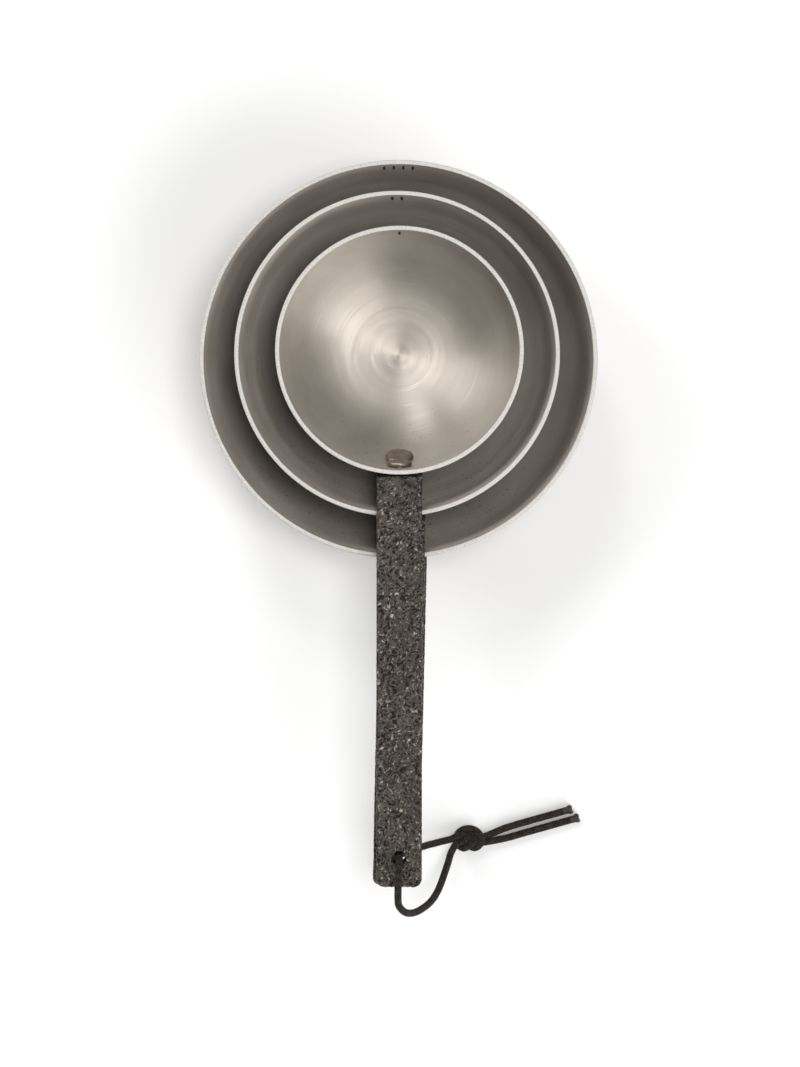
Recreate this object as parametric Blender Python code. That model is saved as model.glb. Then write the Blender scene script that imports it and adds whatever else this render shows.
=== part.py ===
"""Three nested measuring scoops, held together by one cord through their handles.

Metres, +Z up. The origin is the centre of the large scoop's flat base, and the
handles run towards -Y. Each scoop is a turned steel bowl, a flat cast-iron
handle whose end is bent down as a tab, and two rivets.
"""

import math

import bmesh
import bpy
from mathutils import Matrix, Vector

MM = 0.001

# ---- driving dimensions (millimetres) ------------------------------------------

WALL = 0.9  # sheet thickness of every bowl
LEAN = math.radians(9.0)  # how far the upper wall leans from the vertical
GAP = 0.3  # clearance between two separate pieces
HANDLE_WIDTH = 9.6
HANDLE_THICK = 2.4
HANDLE_PITCH = HANDLE_THICK + GAP  # each handle lies on the one below
HANDLE_END_Y = -109.8  # the three handles end together
TAB_LENGTH = 13.2  # the part of the handle bent down along the bowl
HANDLE_CORNER = 1.7  # radius of the handle's outer corners
HANDLE_EDGE = 0.35  # width of the bevel at the ends of the bar
HANDLE_BEND = 0.6  # inner radius where the bar turns down into the tab
CORD_HOLE_RADIUS = 1.5

RIVET_DEPTHS = {"upper": 4.5, "lower": 10.9}  # along the wall, below the rim
RIVET_SHANK_RADIUS = 1.2
RIVET_HOLE_RADIUS = 1.5
RIVET_HEAD_RADII = {"upper": 2.6, "lower": 2.9}
RIVET_HEAD_THICK = 0.9
RIVET_HEAD_STAND = 0.42  # the flat head spans the curved wall
RIVET_TAIL_RADIUS = 1.7
RIVET_TAIL_THICK = 0.9

CORD_RADIUS = 0.75
CORD_STEP = 2.2  # distance between points along the cord
SEGMENTS = 72

# marked volume (ml), inner radius at the rim, inner radius of the flat bottom,
# and the bowl's centre in plan (x, y)
SCOOPS = {
    "large": {"ml": 100, "rim": 40.7, "bottom": 24.0, "centre": (0.0, 0.0)},
    "middle": {"ml": 50, "rim": 33.0, "bottom": 19.0, "centre": (-0.3, 1.0)},
    "small": {"ml": 25, "rim": 24.9, "bottom": 8.5, "centre": (0.2, 1.6)},
}
BRIM_FILL = 1.12  # each bowl holds this much more at the brim than at its mark
# centreline of each handle in X, at its tab and at its cord hole
TAB_X = {"large": 1.2, "middle": 0.9, "small": 0.2}
END_X = {"large": -0.3, "middle": -0.5, "small": 0.1}

SWING_Y = -110.2  # the scoops swing on the cord about this line
HOLE_REACH = {"large": 6.4, "middle": 7.0, "small": 6.4}  # hole to swing line

COLOURS = {
    "steel": ((0.62, 0.61, 0.59, 1.0), 0.28, 1.0),
    "iron": ((0.075, 0.066, 0.06, 1.0), 0.62, 0.6),
    "rivet": ((0.16, 0.13, 0.11, 1.0), 0.42, 0.9),
    "cord": ((0.018, 0.015, 0.013, 1.0), 0.85, 0.0),
}


# ---- bowl profile ---------------------------------------------------------------


def corner_radius(rim, bottom, depth):
    """Radius of the arc from the flat bottom to the straight leaning wall."""
    run = rim - bottom - depth * math.tan(LEAN)
    arc_run = math.cos(LEAN) - (1 - math.sin(LEAN)) * math.tan(LEAN)
    return run / arc_run


def inner_profile(rim, bottom, depth, steps=9):
    """Points (radius, height) from the edge of the flat bottom up to the rim."""
    radius = corner_radius(rim, bottom, depth)
    turn = math.pi / 2 - LEAN
    arc = [
        (bottom + radius * math.sin(turn * i / steps),
         radius * (1 - math.cos(turn * i / steps)))
        for i in range(steps + 1)
    ]
    return arc + [(rim, depth)]


def brim_volume(points):
    """Millilitres under the profile, as a stack of cones."""
    total = 0.0
    for (r0, z0), (r1, z1) in zip(points, points[1:]):
        total += math.pi * (z1 - z0) * (r0 * r0 + r0 * r1 + r1 * r1) / 3
    return total / 1000


def bowl_depth(ml, rim, bottom):
    """Inner depth that holds the stated volume at the brim."""
    low, high = 8.0, (rim - bottom) / math.tan(LEAN) * 0.9
    for _ in range(50):
        middle = (low + high) / 2
        if brim_volume(inner_profile(rim, bottom, middle)) < ml:
            low = middle
        else:
            high = middle
    return low


def offset_profile(points, distance, bottom, depth):
    """The same profile moved outwards by the sheet's thickness."""
    radius = corner_radius(points[-1][0], bottom, depth) + distance
    turn = math.pi / 2 - LEAN
    steps = len(points) - 2
    arc = [
        (bottom + radius * math.sin(turn * i / steps),
         radius * (1 - math.cos(turn * i / steps)) - distance)
        for i in range(steps + 1)
    ]
    return arc + [(points[-1][0] + distance / math.cos(LEAN), depth)]


for scoop in SCOOPS.values():
    scoop["depth"] = bowl_depth(scoop["ml"] * BRIM_FILL, scoop["rim"], scoop["bottom"])
    scoop["corner"] = corner_radius(scoop["rim"], scoop["bottom"], scoop["depth"])

RIM_Z = {"large": WALL + SCOOPS["large"]["depth"]}
RIM_Z["middle"] = RIM_Z["large"] + HANDLE_PITCH
RIM_Z["small"] = RIM_Z["middle"] + HANDLE_PITCH
SWING_Z = RIM_Z["middle"] - HANDLE_THICK / 2
HOLE_X = 0.1


# ---- helpers --------------------------------------------------------------------


def start_empty():
    for obj in list(bpy.data.objects):
        bpy.data.objects.remove(obj, do_unlink=True)


def material(name):
    found = bpy.data.materials.get(name)
    if found:
        return found
    colour, roughness, metallic = COLOURS[name]
    made = bpy.data.materials.new(name)
    made.use_nodes = True
    shader = made.node_tree.nodes["Principled BSDF"]
    shader.inputs["Base Color"].default_value = colour
    shader.inputs["Roughness"].default_value = roughness
    shader.inputs["Metallic"].default_value = metallic
    return made


def new_object(name, mesh, finish, parent=None):
    obj = bpy.data.objects.new(name, mesh)
    bpy.context.collection.objects.link(obj)
    if finish:
        mesh.materials.append(material(finish))
    if parent:
        obj.parent = parent
        obj.matrix_parent_inverse = parent.matrix_world.inverted()
    return obj


def mesh_from(bm, name):
    bmesh.ops.recalc_face_normals(bm, faces=bm.faces)
    mesh = bpy.data.meshes.new(name)
    bm.to_mesh(mesh)
    bm.free()
    return mesh


def revolved(name, outline, segments=24):
    """Closed solid from a (radius, height) outline; radius 0 points become poles."""
    bm = bmesh.new()
    rings = []
    for radius, height in outline:
        if radius < 1e-6:
            rings.append([bm.verts.new((0, 0, height * MM))])
            continue
        rings.append([
            bm.verts.new((
                radius * MM * math.cos(2 * math.pi * i / segments),
                radius * MM * math.sin(2 * math.pi * i / segments),
                height * MM,
            ))
            for i in range(segments)
        ])
    for lower, upper in zip(rings, rings[1:]):
        for i in range(segments):
            j = (i + 1) % segments
            ring = [lower[i % len(lower)], lower[j % len(lower)],
                    upper[j % len(upper)], upper[i % len(upper)]]
            corners = list(dict.fromkeys(ring))
            bm.faces.new(corners)
    return mesh_from(bm, name)


def extruded(name, outline, half_width):
    """Closed solid from a (y, z) outline, as wide as two half widths in X."""
    bm = bmesh.new()
    left = [bm.verts.new((-half_width * MM, y * MM, z * MM)) for y, z in outline]
    right = [bm.verts.new((half_width * MM, y * MM, z * MM)) for y, z in outline]
    bm.faces.new(left)
    bm.faces.new(list(reversed(right)))
    count = len(outline)
    for i in range(count):
        j = (i + 1) % count
        bm.faces.new([left[i], right[i], right[j], left[j]])
    return mesh_from(bm, name)


def cutter(name, mesh, matrix=None):
    obj = new_object(name, mesh, None)
    if matrix:
        obj.matrix_world = matrix
    obj.hide_render = True
    obj.display_type = "WIRE"
    return obj


def cut(target, tool):
    step = target.modifiers.new(tool.name, "BOOLEAN")
    step.operation = "DIFFERENCE"
    step.solver = "EXACT"
    step.object = tool


def smooth_route(points, spacing):
    """Even points, in millimetres, along a smooth curve through the route's points."""
    route = [Vector(p) for p in points]
    route = [2 * route[0] - route[1]] + route + [2 * route[-1] - route[-2]]
    fine = []
    for a, b, c, d in zip(route, route[1:], route[2:], route[3:]):
        for i in range(20):
            t = i / 20
            fine.append(0.5 * (2 * b + (c - a) * t + (2 * a - 5 * b + 4 * c - d) * t ** 2
                               + (3 * b - a - 3 * c + d) * t ** 3))
    fine.append(route[-2])
    walked = [0.0]
    for p, q in zip(fine, fine[1:]):
        walked.append(walked[-1] + (q - p).length)
    count = max(2, round(walked[-1] / spacing))
    even = []
    for step in range(count + 1):
        along = walked[-1] * step / count
        i = next((n for n, w in enumerate(walked) if w >= along - 1e-6), len(walked) - 1)
        even.append(fine[i])
    return even


def tube(name, points, parent):
    """A length of the cord, round, with flat closed ends."""
    curve = bpy.data.curves.new(name, "CURVE")
    curve.dimensions = "3D"
    curve.bevel_depth = CORD_RADIUS * MM
    curve.bevel_resolution = 2
    curve.use_fill_caps = True
    route = smooth_route(points, CORD_STEP)
    spline = curve.splines.new("POLY")
    spline.points.add(len(route) - 1)
    for knot, point in zip(spline.points, route):
        knot.co = (*(point * MM), 1)
    obj = bpy.data.objects.new(name, curve)
    bpy.context.collection.objects.link(obj)
    curve.materials.append(material("cord"))
    obj.parent = parent
    obj.matrix_parent_inverse = parent.matrix_world.inverted()
    return obj


# ---- scoops ---------------------------------------------------------------------


def outer_wall(size, along):
    """Point (y, z) of the outer wall under the handle, and the wall's lean there.

    along is the distance down the wall's outer side from the rim.
    """
    spec = SCOOPS[size]
    outer = spec["corner"] + WALL
    base = RIM_Z[size] - spec["depth"]
    arc_top = base + spec["corner"] - outer * math.sin(LEAN)
    straight = (RIM_Z[size] - arc_top) / math.cos(LEAN)
    if along <= straight:
        radius = spec["rim"] + WALL / math.cos(LEAN) - along * math.sin(LEAN)
        return Vector((spec["centre"][1] - radius, RIM_Z[size] - along * math.cos(LEAN))), LEAN
    lean = LEAN + (along - straight) / outer
    radius = spec["bottom"] + outer * math.cos(lean)
    height = base + spec["corner"] - outer * math.sin(lean)
    return Vector((spec["centre"][1] - radius, height)), lean


def beside_wall(size, along, distance):
    """The point (y, z) that far outside the outer wall."""
    point, lean = outer_wall(size, along)
    return point + distance * Vector((-math.cos(lean), -math.sin(lean)))


def wall_frame(size, along):
    """Axes at a point of the outer wall; local +Z points into the bowl."""
    point, lean = outer_wall(size, along)
    inwards = Vector((0, math.cos(lean), math.sin(lean)))
    across = Vector((1, 0, 0))
    turn = Matrix((across, inwards.cross(across), inwards)).transposed()
    place = Vector((TAB_X[size], *point))
    return Matrix.Translation(place * MM) @ turn.to_4x4()


def make_bowl(size, parent):
    spec = SCOOPS[size]
    inner = inner_profile(spec["rim"], spec["bottom"], spec["depth"])
    outer = offset_profile(inner, WALL, spec["bottom"], spec["depth"])
    outline = [(0, 0)] + inner + list(reversed(outer)) + [(0, -WALL)]
    bowl = new_object(f"{size}_bowl", revolved(f"{size}_bowl", outline, SEGMENTS), "steel", parent)
    bowl.location = Vector((*spec["centre"], RIM_Z[size] - spec["depth"])) * MM
    for which, along in RIVET_DEPTHS.items():
        drill = revolved("drill", [(0, -1.5), (RIVET_HOLE_RADIUS, -1.5),
                                   (RIVET_HOLE_RADIUS, 2.5), (0, 2.5)])
        cut(bowl, cutter(f"{size}_bowl_drill_{which}", drill, wall_frame(size, along)))
    return bowl


def handle_outline(size):
    """Side view (y, z) of the bar with its end bent down along the bowl."""
    top = RIM_Z[size]
    under = top - HANDLE_THICK
    stations = [TAB_LENGTH * i / 8 for i in range(9)]
    near = [beside_wall(size, along, GAP) for along in stations[1:-1]]
    far = [beside_wall(size, along, GAP + HANDLE_THICK) for along in stations[4:-1]]
    foot_near = beside_wall(size, TAB_LENGTH, GAP + HANDLE_EDGE)
    foot_far = beside_wall(size, TAB_LENGTH, GAP + HANDLE_THICK - HANDLE_EDGE)
    # rounded inner corner between the bar's underside and the tab's outer face
    face = beside_wall(size, 0, GAP + HANDLE_THICK)
    corner_y = face.x + (face.y - under) * math.tan(LEAN)
    centre = Vector((corner_y - HANDLE_BEND * math.tan(math.pi / 4 + LEAN / 2), under - HANDLE_BEND))
    arc = [
        centre + HANDLE_BEND * Vector((math.cos(angle), math.sin(angle)))
        for angle in (math.pi / 2 - (math.pi / 2 + LEAN) * i / 5 for i in range(6))
    ]
    edge_in = beside_wall(size, 0, GAP)
    return [
        (edge_in.x - HANDLE_EDGE, top), (HANDLE_END_Y + HANDLE_EDGE, top),
        (HANDLE_END_Y, top - HANDLE_EDGE), (HANDLE_END_Y, under + HANDLE_EDGE),
        (HANDLE_END_Y + HANDLE_EDGE, under),
        *[tuple(p) for p in arc], *[tuple(p) for p in far],
        tuple(foot_far), tuple(foot_near),
        *[tuple(p) for p in reversed(near)],
        tuple(beside_wall(size, HANDLE_EDGE, GAP)),
    ]


def corner_cutter(name, side, turn, height):
    """Block that leaves a quarter round when it cuts a corner of the handle's end.

    side is -1 for the corner at -X and 1 for the one at +X.
    """
    round_x = side * (HANDLE_WIDTH / 2 - HANDLE_CORNER)
    round_y = HANDLE_END_Y + HANDLE_CORNER
    beyond = HANDLE_CORNER + 1.0
    outline = [(0, -beyond), (side * beyond, -beyond), (side * beyond, 0)]
    outline += [
        (side * HANDLE_CORNER * math.cos(angle), -HANDLE_CORNER * math.sin(angle))
        for angle in (math.pi / 2 * i / 6 for i in range(7))
    ]
    bm = bmesh.new()
    face = bm.faces.new([bm.verts.new(((round_x + x) * MM, (round_y + y) * MM, 0)) for x, y in outline])
    grown = bmesh.ops.extrude_face_region(bm, geom=[face])
    tops = [item for item in grown["geom"] if isinstance(item, bmesh.types.BMVert)]
    bmesh.ops.translate(bm, verts=tops, vec=(0, 0, 8 * MM))
    return cutter(name, mesh_from(bm, name), turn @ Matrix.Translation((0, 0, (height - 4) * MM)))


def handle_turn(size):
    """Places the handle's own straight frame on its slightly slanting centreline."""
    hole_y = SWING_Y + HOLE_REACH[size]
    tab_y = outer_wall(size, 0)[0].x
    slant = math.atan2(TAB_X[size] - END_X[size], tab_y - hole_y)
    return (Matrix.Translation(Vector((END_X[size], hole_y, 0)) * MM)
            @ Matrix.Rotation(-slant, 4, "Z")
            @ Matrix.Translation(Vector((0, -hole_y, 0)) * MM))


def make_handle(size, parent):
    name = f"{size}_handle"
    handle = new_object(name, extruded(name, handle_outline(size), HANDLE_WIDTH / 2), "iron", parent)
    handle.matrix_world = handle_turn(size)
    middle = RIM_Z[size] - HANDLE_THICK / 2
    for side, word in ((-1, "left"), (1, "right")):
        cut(handle, corner_cutter(f"{name}_corner_{word}", side, handle_turn(size), middle))
    hole = revolved("hole", [(0, -3), (CORD_HOLE_RADIUS, -3), (CORD_HOLE_RADIUS, 3), (0, 3)])
    spot = Vector((HOLE_X, SWING_Y + HOLE_REACH[size], middle)) * MM
    cut(handle, cutter(f"{name}_hole", hole, Matrix.Translation(spot)))
    for which, along in RIVET_DEPTHS.items():
        drill = revolved("drill", [(0, -4.5), (RIVET_HOLE_RADIUS, -4.5),
                                   (RIVET_HOLE_RADIUS, 0.5), (0, 0.5)])
        cut(handle, cutter(f"{name}_drill_{which}", drill, wall_frame(size, along)))
    return handle


def make_rivet(size, which, parent):
    """Head inside the bowl, shank through bowl and tab, peened tail outside."""
    head = RIVET_HEAD_RADII[which]
    head_in = WALL + RIVET_HEAD_STAND
    head_top = head_in + RIVET_HEAD_THICK
    tab_back = -(GAP + HANDLE_THICK + GAP)
    outline = [
        (0, head_top), (head - 0.3, head_top), (head, head_top - 0.3), (head, head_in),
        (RIVET_SHANK_RADIUS, head_in),
        (RIVET_SHANK_RADIUS, tab_back), (RIVET_TAIL_RADIUS, tab_back),
        (RIVET_TAIL_RADIUS * 0.8, tab_back - RIVET_TAIL_THICK * 0.7),
        (RIVET_TAIL_RADIUS * 0.4, tab_back - RIVET_TAIL_THICK), (0, tab_back - RIVET_TAIL_THICK),
    ]
    name = f"{size}_rivet_{which}"
    rivet = new_object(name, revolved(name, outline), "rivet", parent)
    rivet.matrix_world = wall_frame(size, RIVET_DEPTHS[which])
    return rivet


def make_scoop(size, parent=None):
    pivot = bpy.data.objects.new(f"{size}_pivot", None)
    bpy.context.collection.objects.link(pivot)
    pivot.location = Vector((HOLE_X, SWING_Y, SWING_Z)) * MM
    if parent:
        pivot.parent = parent
        pivot.matrix_parent_inverse = parent.matrix_world.inverted()
    bpy.context.view_layer.update()
    make_bowl(size, pivot)
    make_handle(size, pivot)
    for which in RIVET_DEPTHS:
        make_rivet(size, which, pivot)
    return pivot


# ---- cord -----------------------------------------------------------------------

# The route, in millimetres: up through the three holes on an arc about the swing
# line, over the handle ends, down to the surface and into the knot.
CORD_ARC = HOLE_REACH["middle"] + 0.05
SURFACE_Z = CORD_RADIUS + 0.05


def arc_point(degrees, x):
    angle = math.radians(degrees)
    return (x, SWING_Y + CORD_ARC * math.cos(angle), SWING_Z + CORD_ARC * math.sin(angle))


CORD_LOOP = [
    (11.6, -102.7, 2.2), (8.8, -103.0, 3.2), (5.5, -103.6, 6.2), (3.0, -104.3, 9.2),
    (1.0, -104.6, 12.6), (-0.5, -104.4, 16.0), (-0.7, -104.5, 19.4),
    *[arc_point(angle, HOLE_X) for angle in (-45, -30, -15, 0, 15, 30, 45, 60)],
    *[arc_point(angle, HOLE_X - 0.2) for angle in (75, 90, 103)],
    (0.1, -113.4, 33.6), (1.4, -115.0, 31.2), (3.2, -115.5, 27.5), (5.1, -115.0, 23.6),
    (6.9, -113.9, 19.8), (8.2, -112.4, 16.0), (9.1, -110.8, 12.6), (9.8, -109.2, 9.6),
    (10.6, -107.2, 6.8), (11.6, -105.2, 4.7),
]
KNOT_CENTRE = (15.2, -102.6, 2.0)
KNOT_SIZE = (3.1, 2.6, 1.75)
CORD_TAILS = {
    "inner": [(18.9, -101.7, SURFACE_Z), (23.1, -100.2, SURFACE_Z), (28.1, -98.7, SURFACE_Z),
              (33.1, -97.3, SURFACE_Z), (36.2, -96.4, SURFACE_Z)],
    "outer": [(18.9, -103.6, SURFACE_Z), (23.1, -102.4, SURFACE_Z), (28.1, -101.0, SURFACE_Z),
              (33.1, -99.6, SURFACE_Z), (37.7, -98.3, SURFACE_Z)],
}


def make_knot(parent):
    """The overhand knot as one lump; its turns are part of the looks."""
    bm = bmesh.new()
    bmesh.ops.create_uvsphere(bm, u_segments=24, v_segments=14, radius=MM)
    bmesh.ops.scale(bm, vec=KNOT_SIZE, verts=bm.verts)
    knot = new_object("cord_knot", mesh_from(bm, "cord_knot"), "cord", parent)
    knot.location = Vector(KNOT_CENTRE) * MM
    return knot


def make_tip(name, end, before, parent):
    """Short plug where the cut end was sealed by heat."""
    outline = [(0, GAP), (CORD_RADIUS, GAP), (CORD_RADIUS, 1.0),
               (CORD_RADIUS * 0.9, 1.4), (0, 1.4)]
    tip = new_object(name, revolved(name, outline), "cord", parent)
    direction = (Vector(end) - Vector(before)).normalized()
    turn = direction.to_track_quat("Z", "Y").to_matrix().to_4x4()
    tip.matrix_world = Matrix.Translation(Vector(end) * MM) @ turn
    return tip


def make_cord(parent):
    tube("cord_loop", CORD_LOOP, parent)
    make_knot(parent)
    for name, route in CORD_TAILS.items():
        tube(f"cord_tail_{name}", route, parent)
        make_tip(f"cord_tip_{name}", route[-1], route[-2], parent)


# ---- assembly -------------------------------------------------------------------

start_empty()
large = make_scoop("large")
middle = make_scoop("middle", large)
small = make_scoop("small", middle)
make_cord(large)
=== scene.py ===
# %% [markdown]
# # Three nested measuring scoops
# The object is a set of three turned steel scoops. Each bowl has a flat cast-iron
# handle fixed by two rivets, and one braided cord runs through all three handles.
# This notebook dresses the finished model: it never moves a part, it only gives
# each one its real surface. Lengths below are in millimetres unless a name says
# otherwise. The bowls are measured in the frame. The handles, rivets and cord
# repeat the sizes that the model itself was built with.

# %% Load the frame and measure it
import math

import bmesh
import bpy
import numpy as np
from mathutils import Matrix, Vector


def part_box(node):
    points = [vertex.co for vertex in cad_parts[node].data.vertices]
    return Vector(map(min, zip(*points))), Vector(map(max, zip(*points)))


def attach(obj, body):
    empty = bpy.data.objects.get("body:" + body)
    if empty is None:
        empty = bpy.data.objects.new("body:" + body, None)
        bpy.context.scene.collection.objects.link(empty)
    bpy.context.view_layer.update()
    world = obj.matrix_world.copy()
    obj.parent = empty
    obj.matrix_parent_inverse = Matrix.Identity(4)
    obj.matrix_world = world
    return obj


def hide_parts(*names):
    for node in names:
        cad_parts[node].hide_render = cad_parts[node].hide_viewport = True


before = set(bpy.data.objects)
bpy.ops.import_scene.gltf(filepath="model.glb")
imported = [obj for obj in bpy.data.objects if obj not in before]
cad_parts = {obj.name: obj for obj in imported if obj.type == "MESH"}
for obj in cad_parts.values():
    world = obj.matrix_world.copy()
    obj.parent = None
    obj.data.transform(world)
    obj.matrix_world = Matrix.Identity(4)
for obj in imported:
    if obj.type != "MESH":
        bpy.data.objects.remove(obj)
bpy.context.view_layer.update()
MM = 0.001
SIZES = ("large", "middle", "small")


def plan(size):
    """Centre, outer rim radius, base height and rim height of one bowl, in mm."""
    low, high = (Vector(corner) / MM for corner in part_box(f"{size}_bowl"))
    return {
        "centre": Vector(((low.x + high.x) / 2, (low.y + high.y) / 2)),
        "outer": (high.y - low.y) / 2,
        "base": low.z,
        "rim": high.z,
    }


BOWLS = {size: plan(size) for size in SIZES}
for size, bowl in BOWLS.items():
    print(size, "rim radius", round(bowl["outer"], 2), "height", round(bowl["rim"] - bowl["base"], 2))

# %% [markdown]
# ## Camera, floor and light
# The set is seen from straight above, from about 70 cm, so the rims are circles.
# A long lens keeps the bowls from leaning outwards. The light is a bright tent with
# four softboxes: one overhead, one at the upper left, a narrow one at the top, and
# a large, stronger one low on the right, which sets the brightest side.

# %% Camera
VIEW_DISTANCE = 700.0  # above the large rim
VIEW_CENTRE = (0.31, -36.43)
camera_data = bpy.data.cameras.new("camera")
camera_data.lens = 113.06
camera_data.sensor_width = 36.0
camera_data.clip_start = 0.02
camera = bpy.data.objects.new("camera", camera_data)
camera.location = Vector((*VIEW_CENTRE, BOWLS["large"]["rim"] + VIEW_DISTANCE)) * MM
bpy.context.collection.objects.link(camera)
bpy.context.scene.camera = camera
bpy.context.scene.view_settings.view_transform = "Standard"
bpy.context.scene.view_settings.look = "None"
print("camera", round(camera.location.z / MM), "mm above the floor, lens", camera_data.lens, "mm")


# %% A softbox
def link(obj):
    bpy.context.collection.objects.link(obj)
    return obj


def softbox(name, place, aim, size, power):
    """A square area light, in metres, that faces the aim point."""
    data = bpy.data.lights.new(name, "AREA")
    data.shape = "RECTANGLE"
    data.size, data.size_y = size
    data.energy = power
    lamp = link(bpy.data.objects.new(name, data))
    lamp.location = place
    lamp.rotation_euler = (Vector(aim) - Vector(place)).to_track_quat("-Z", "Y").to_euler()
    return lamp


# %% Floor
floor_mesh = bpy.data.meshes.new("floor")
REACH = 3.0
floor_mesh.from_pydata(
    [(-REACH, -REACH, 0), (REACH, -REACH, 0), (REACH, REACH, 0), (-REACH, REACH, 0)], [], [(0, 1, 2, 3)])
floor = link(bpy.data.objects.new("floor", floor_mesh))
floor.location.z = -0.0002  # just under the large bowl
paper = bpy.data.materials.new("white_paper")
paper.use_nodes = True
paper.node_tree.nodes["Principled BSDF"].inputs["Base Color"].default_value = (0.93, 0.93, 0.93, 1)
paper.node_tree.nodes["Principled BSDF"].inputs["Roughness"].default_value = 0.9
floor_mesh.materials.append(paper)
print("floor", 2 * REACH, "m wide")

# %% Tent and softboxes
world = bpy.data.worlds.new("tent")
bpy.context.scene.world = world
world.use_nodes = True
world.node_tree.nodes["Background"].inputs["Color"].default_value = (1.0, 0.99, 0.975, 1)
world.node_tree.nodes["Background"].inputs["Strength"].default_value = 0.27
CENTRE = (0, -0.02, 0.02)
softbox("overhead", (0.25, 0.02, 1.56), CENTRE, (0.5, 0.5), 8.5)
softbox("upper_left", (-1.15, 0.62, 0.95), CENTRE, (1.0, 0.9), 10)
softbox("top", (-0.35, 1.2, 1.25), CENTRE, (0.35, 0.5), 5)
softbox("lower_right", (1.15, -1.1, 1.05), CENTRE, (1.8, 1.4), 25)
print(len(bpy.data.lights), "softboxes")


# %% [markdown]
# ## Rings left by the lathe
# Metal that was turned shows fine rings and a few longer arcs. They could be cut
# into the mesh, but they are far finer than its faces, so they are a shader node
# group with named inputs and outputs, which the steel then uses.

# %% Start a shader node group
def group(name, inputs, outputs):
    """A new shader node group with its sockets, and its two end nodes."""
    tree = bpy.data.node_groups.new(name, "ShaderNodeTree")
    for label, kind, value in inputs:
        socket = tree.interface.new_socket(label, in_out="INPUT", socket_type=kind)
        if value is not None:
            socket.default_value = value
    for label, kind in outputs:
        tree.interface.new_socket(label, in_out="OUTPUT", socket_type=kind)
    return tree, tree.nodes.new("NodeGroupInput"), tree.nodes.new("NodeGroupOutput")


# %% Number nodes
def math_node(tree, operation, first, second=None, clamp=False):
    node = tree.nodes.new("ShaderNodeMath")
    node.operation = operation
    node.use_clamp = clamp
    for slot, value in zip(node.inputs, (first, second)):
        if value is None:
            continue
        if isinstance(value, (int, float)):
            slot.default_value = value
        else:
            tree.links.new(value, slot)
    return node.outputs[0]


def remap(tree, value, low, high, to_low=0.0, to_high=1.0):
    node = tree.nodes.new("ShaderNodeMapRange")
    tree.links.new(value, node.inputs["Value"])
    node.inputs["From Min"].default_value = low
    node.inputs["From Max"].default_value = high
    node.inputs["To Min"].default_value = to_low
    node.inputs["To Max"].default_value = to_high
    return node.outputs["Result"]


def noise(tree, vector, scale, detail=2.0, rough=0.5, warp=0.0):
    node = tree.nodes.new("ShaderNodeTexNoise")
    tree.links.new(vector, node.inputs["Vector"])
    node.inputs["Scale"].default_value = scale
    node.inputs["Detail"].default_value = detail
    node.inputs["Roughness"].default_value = rough
    node.inputs["Distortion"].default_value = warp
    return node.outputs["Fac"]


# %% Colour, bump and material
def blend_colour(tree, factor, first, second):
    node = tree.nodes.new("ShaderNodeMix")
    node.data_type = "RGBA"
    tree.links.new(factor, node.inputs["Factor"])
    for name, value in (("A", first), ("B", second)):
        socket = next(s for s in node.inputs if s.name == name and s.type == "RGBA")
        if isinstance(value, tuple):
            socket.default_value = value
        else:
            tree.links.new(value, socket)
    return next(s for s in node.outputs if s.type == "RGBA")


def bump(tree, height, strength, distance):
    node = tree.nodes.new("ShaderNodeBump")
    node.inputs["Strength"].default_value = strength
    node.inputs["Distance"].default_value = distance
    tree.links.new(height, node.inputs["Height"])
    return node.outputs["Normal"]


def new_material(name, slot_roughness, metallic):
    made = bpy.data.materials.new(name)
    made.use_nodes = True
    shader = made.node_tree.nodes["Principled BSDF"]
    shader.inputs["Roughness"].default_value = slot_roughness
    shader.inputs["Metallic"].default_value = metallic
    return made, made.node_tree, shader


# %% Turned marks
def make_turned_marks():
    """Rings left by the lathe: fine grooves, and a few longer arcs that break off."""
    tree, start, end = group(
        "turned_marks", [("Vector", "NodeSocketVector", None), ("Grooves", "NodeSocketFloat", 5200.0)],
        [("Height", "NodeSocketFloat"), ("Arcs", "NodeSocketFloat"), ("Cloud", "NodeSocketFloat")])
    split = tree.nodes.new("ShaderNodeSeparateXYZ")
    tree.links.new(start.outputs["Vector"], split.inputs[0])
    x, y, z = split.outputs
    square = math_node(tree, "ADD", math_node(tree, "MULTIPLY", x, x), math_node(tree, "MULTIPLY", y, y))
    along = math_node(tree, "ADD", math_node(tree, "SQRT", square), z)
    turn = math_node(tree, "ARCTAN2", y, x)
    ring = tree.nodes.new("ShaderNodeCombineXYZ")
    tree.links.new(math_node(tree, "MULTIPLY", along, start.outputs["Grooves"]), ring.inputs["X"])
    tree.links.new(math_node(tree, "MULTIPLY", turn, 0.9), ring.inputs["Y"])
    fine = noise(tree, ring.outputs[0], 1.0, 3.0, 0.65)
    wide = noise(tree, ring.outputs[0], 0.16, 2.0, 0.5)
    arcs = remap(tree, noise(tree, ring.outputs[0], 0.55, 1.0), 0.66, 0.74)
    broken = remap(tree, noise(tree, start.outputs["Vector"], 90.0, 2.0), 0.5, 0.62)
    arcs = math_node(tree, "MULTIPLY", arcs, broken)
    height = math_node(tree, "ADD", math_node(tree, "MULTIPLY", fine, 0.6),
                       math_node(tree, "MULTIPLY", wide, 0.8))
    tree.links.new(height, end.inputs["Height"])
    tree.links.new(arcs, end.inputs["Arcs"])
    tree.links.new(noise(tree, start.outputs["Vector"], 55.0, 3.0, 0.55), end.inputs["Cloud"])
    return tree


TURNED_MARKS = make_turned_marks()
print(TURNED_MARKS.name, "has", len(TURNED_MARKS.nodes), "nodes")


# %% [markdown]
# ## Bowls
# Each bowl is spun from sheet steel: a flat bottom, a round corner and a straight
# wall that leans out a little. Its section is worked out from the rim radius and
# the height in the frame, then turned about its axis. The rim is ground flat, so
# its edges get only a very small round.

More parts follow.
